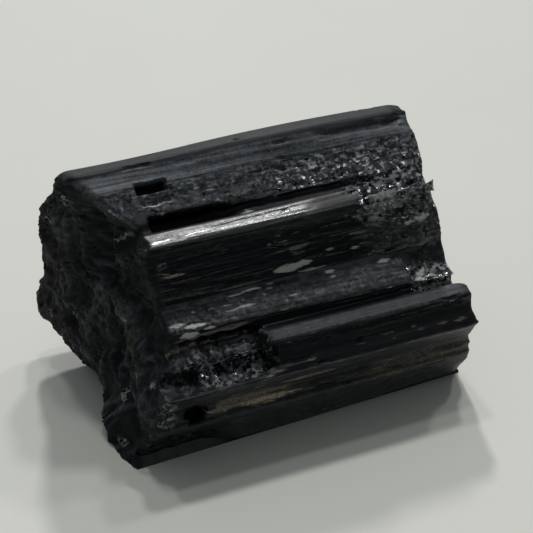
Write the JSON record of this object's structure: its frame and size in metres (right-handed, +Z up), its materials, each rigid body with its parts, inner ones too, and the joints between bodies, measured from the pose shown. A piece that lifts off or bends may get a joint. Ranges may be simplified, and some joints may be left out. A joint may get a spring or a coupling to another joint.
{
  "type": "tourmaline crystal",
  "caption": "Stubby black tourmaline crystal lying on its side, with long parallel ribs and grooves and broken ends: a mineral specimen to show or handle.",
  "frame": {"origin": "on the surface that the crystal rests on, below the middle of its box", "axes": "+X along the ribs, from the slanted near break to the squarer far break, +Z up, +Y towards the plainer back"},
  "size_m": [0.06, 0.0372, 0.0361],
  "materials": {
    "black_tourmaline": "glassy black crystal, striated lengthwise, rough and sparkling where broken"
  },
  "bodies": {
    "root": {"tourmaline_crystal": "black_tourmaline"}
  },
  "joints": []
}
